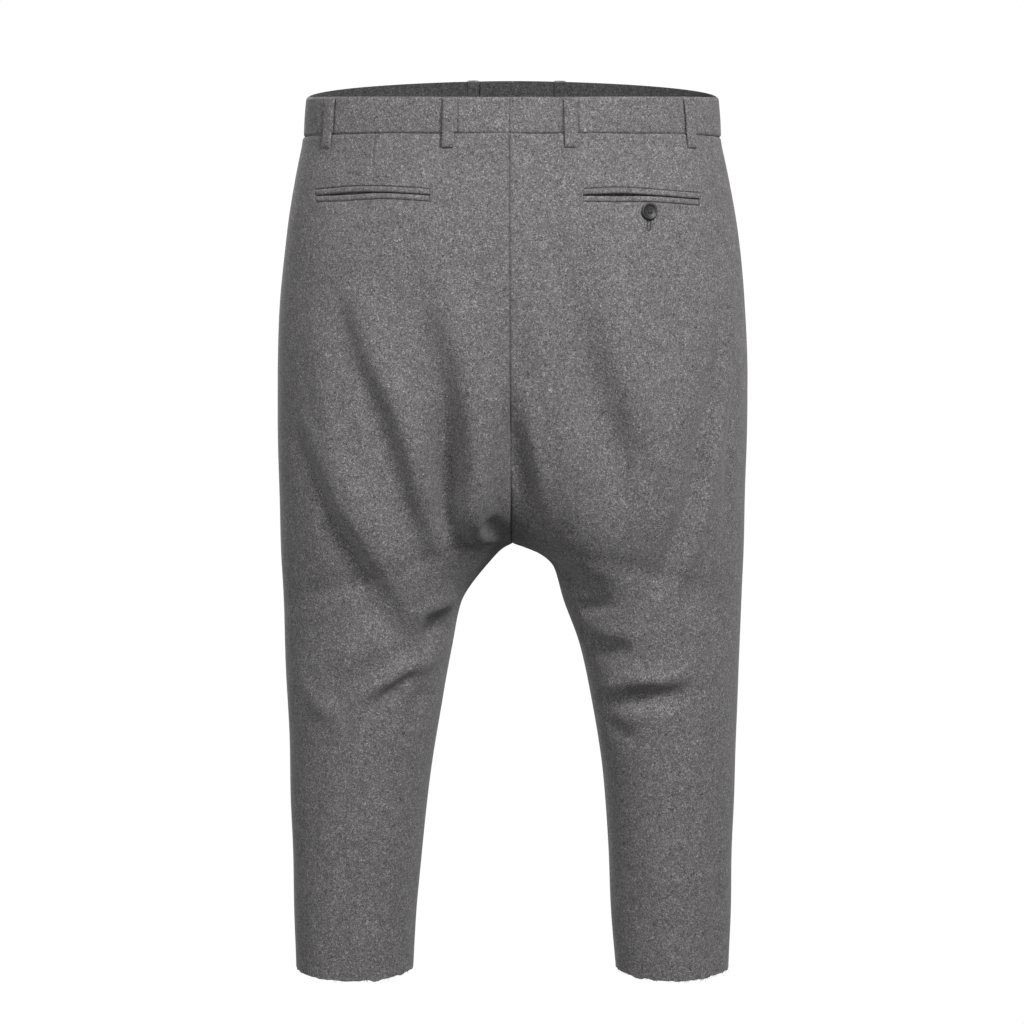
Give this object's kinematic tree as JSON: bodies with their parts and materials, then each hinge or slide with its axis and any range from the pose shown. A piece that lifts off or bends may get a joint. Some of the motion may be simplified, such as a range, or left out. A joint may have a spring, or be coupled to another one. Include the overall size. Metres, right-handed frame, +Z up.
{
  "type": "harem pants",
  "caption": "Drop-crotch trousers in grey wool flannel, filled out with no wearer: open waist with belt loops, welted back pockets, tapered legs with raw hems.",
  "frame": {"origin": "middle of the waist opening, halfway up the waistband, where a wearer's waist holds the trousers up", "axes": "+Z up, towards the waist; -Y to the front, +Y to the back; +X to the wearer's left"},
  "size_m": [0.4668, 0.2499, 0.8888],
  "materials": {
    "flannel": "matte milled wool flannel, mid grey melange",
    "button": "satin charcoal resin with a raised rim",
    "thread": "dark grey polyester sewing thread"
  },
  "bodies": {
    "root": {"back_left": "flannel", "back_right": "flannel", "front_left": "flannel", "front_right": "flannel", "waistband_left": "flannel", "waistband_right": "flannel", "waistband_underlap": "flannel", "belt_loop_back_left": "flannel", "belt_loop_back_right": "flannel", "belt_loop_side_left": "flannel", "belt_loop_side_right": "flannel", "belt_loop_front_left": "flannel", "belt_loop_front_right": "flannel", "pocket_welt_upper_left": "flannel", "pocket_welt_lower_left": "flannel", "pocket_welt_upper_right": "flannel", "pocket_welt_lower_right": "flannel", "pocket_button": "button"}
  },
  "joints": []
}
